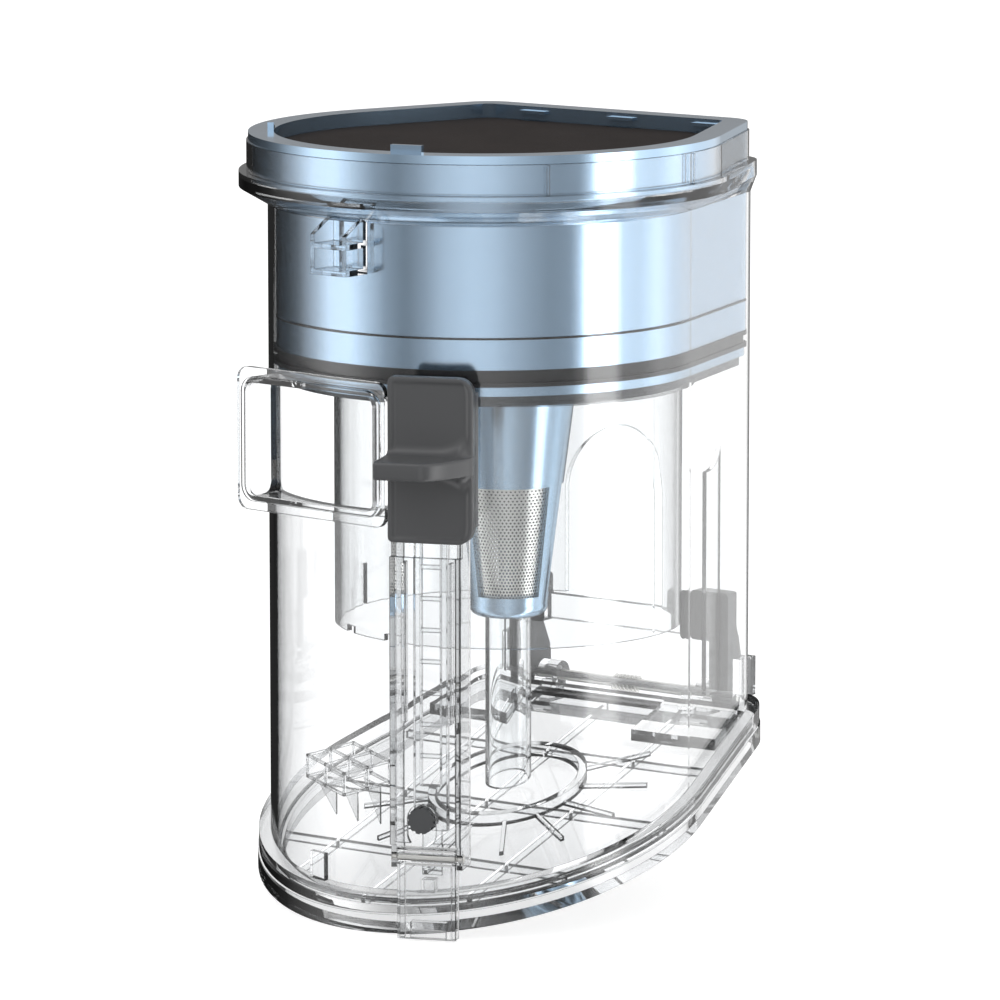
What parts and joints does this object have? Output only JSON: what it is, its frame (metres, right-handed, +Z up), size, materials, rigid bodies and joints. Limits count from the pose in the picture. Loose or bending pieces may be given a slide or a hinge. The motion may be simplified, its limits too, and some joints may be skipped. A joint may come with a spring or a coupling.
{
  "type": "cyclone dust bin",
  "caption": "Clear D-plan vacuum cleaner dust bin with slanted hinged door, tangential inlet, thumb release and lift-out blue cyclone with steel screen.",
  "frame": {"origin": "on the axis of the round front, in the top plane of the rim, where the cleaner's head sits on the bin", "axes": "+Z up along the cyclone's axis, -Y towards the round front, +Y towards the flat rear side with the door's hinge"},
  "size_m": [0.192, 0.2271, 0.3028],
  "materials": {
    "clear_plastic": "polished clear",
    "blue_plastic": "metallic gloss",
    "dark_plastic": "satin",
    "seal_rubber": "matte",
    "soft_clear": "translucent soft",
    "steel": "satin",
    "filter_foam": "open foam",
    "smoke_plastic": "tinted gloss"
  },
  "bodies": {
    "bin": {"bin_shell": "clear_plastic", "inlet_duct": "clear_plastic", "channel_cover": "clear_plastic", "catch_pin": "steel", "hinge_bracket_left": "dark_plastic", "hinge_bracket_right": "dark_plastic", "hinge_pin": "steel", "hinge_spring": "steel", "lever_spring": "steel"},
    "release": {"release_lever": "dark_plastic", "push_rod": "clear_plastic", "rod_pin": "dark_plastic"},
    "catch": {"door_catch": "clear_plastic"},
    "door": {"bin_door": "clear_plastic", "door_seal": "soft_clear"},
    "cyclone": {"top_housing": "blue_plastic", "cyclone_barrel": "blue_plastic", "lower_ring": "blue_plastic", "main_seal": "seal_rubber", "clamp_ring": "blue_plastic", "seal_plate": "smoke_plastic", "vortex_cone": "blue_plastic", "mesh_screen": "steel", "cone_cap": "blue_plastic", "dust_tube": "clear_plastic", "inner_shroud": "clear_plastic"},
    "filter": {"filter_pad": "filter_foam"}
  },
  "joints": [
    {"name": "lever_slide", "type": "slide", "parent": "bin", "child": "release", "axis": [0, 0, -1], "range_m": [0, 0.005], "stiffness_N_per_m": 300, "springref_m": -0.004, "deforming": ["lever_spring"]},
    {"name": "catch_pivot", "type": "hinge", "parent": "bin", "child": "catch", "pos_m": [0.03393, -0.08736, -0.268], "axis": [-0.9397, -0.342, 0], "range_deg": [0, 5.5]},
    {"name": "door_hinge", "type": "hinge", "parent": "bin", "child": "door", "pos_m": [0, 0.1022, -0.23297], "axis": [1, 0, 0], "range_deg": [0, 80]},
    {"name": "cyclone_lift", "type": "slide", "parent": "bin", "child": "cyclone", "axis": [0, 0, 1], "range_m": [0, 0.2]},
    {"name": "filter_lift", "type": "slide", "parent": "cyclone", "child": "filter", "axis": [0, 0, 1], "range_m": [0, 0.05]}
  ],
  "couplings": [
    {"joint": "catch_pivot", "follows": "lever_slide", "rad_per_m": 19}
  ]
}
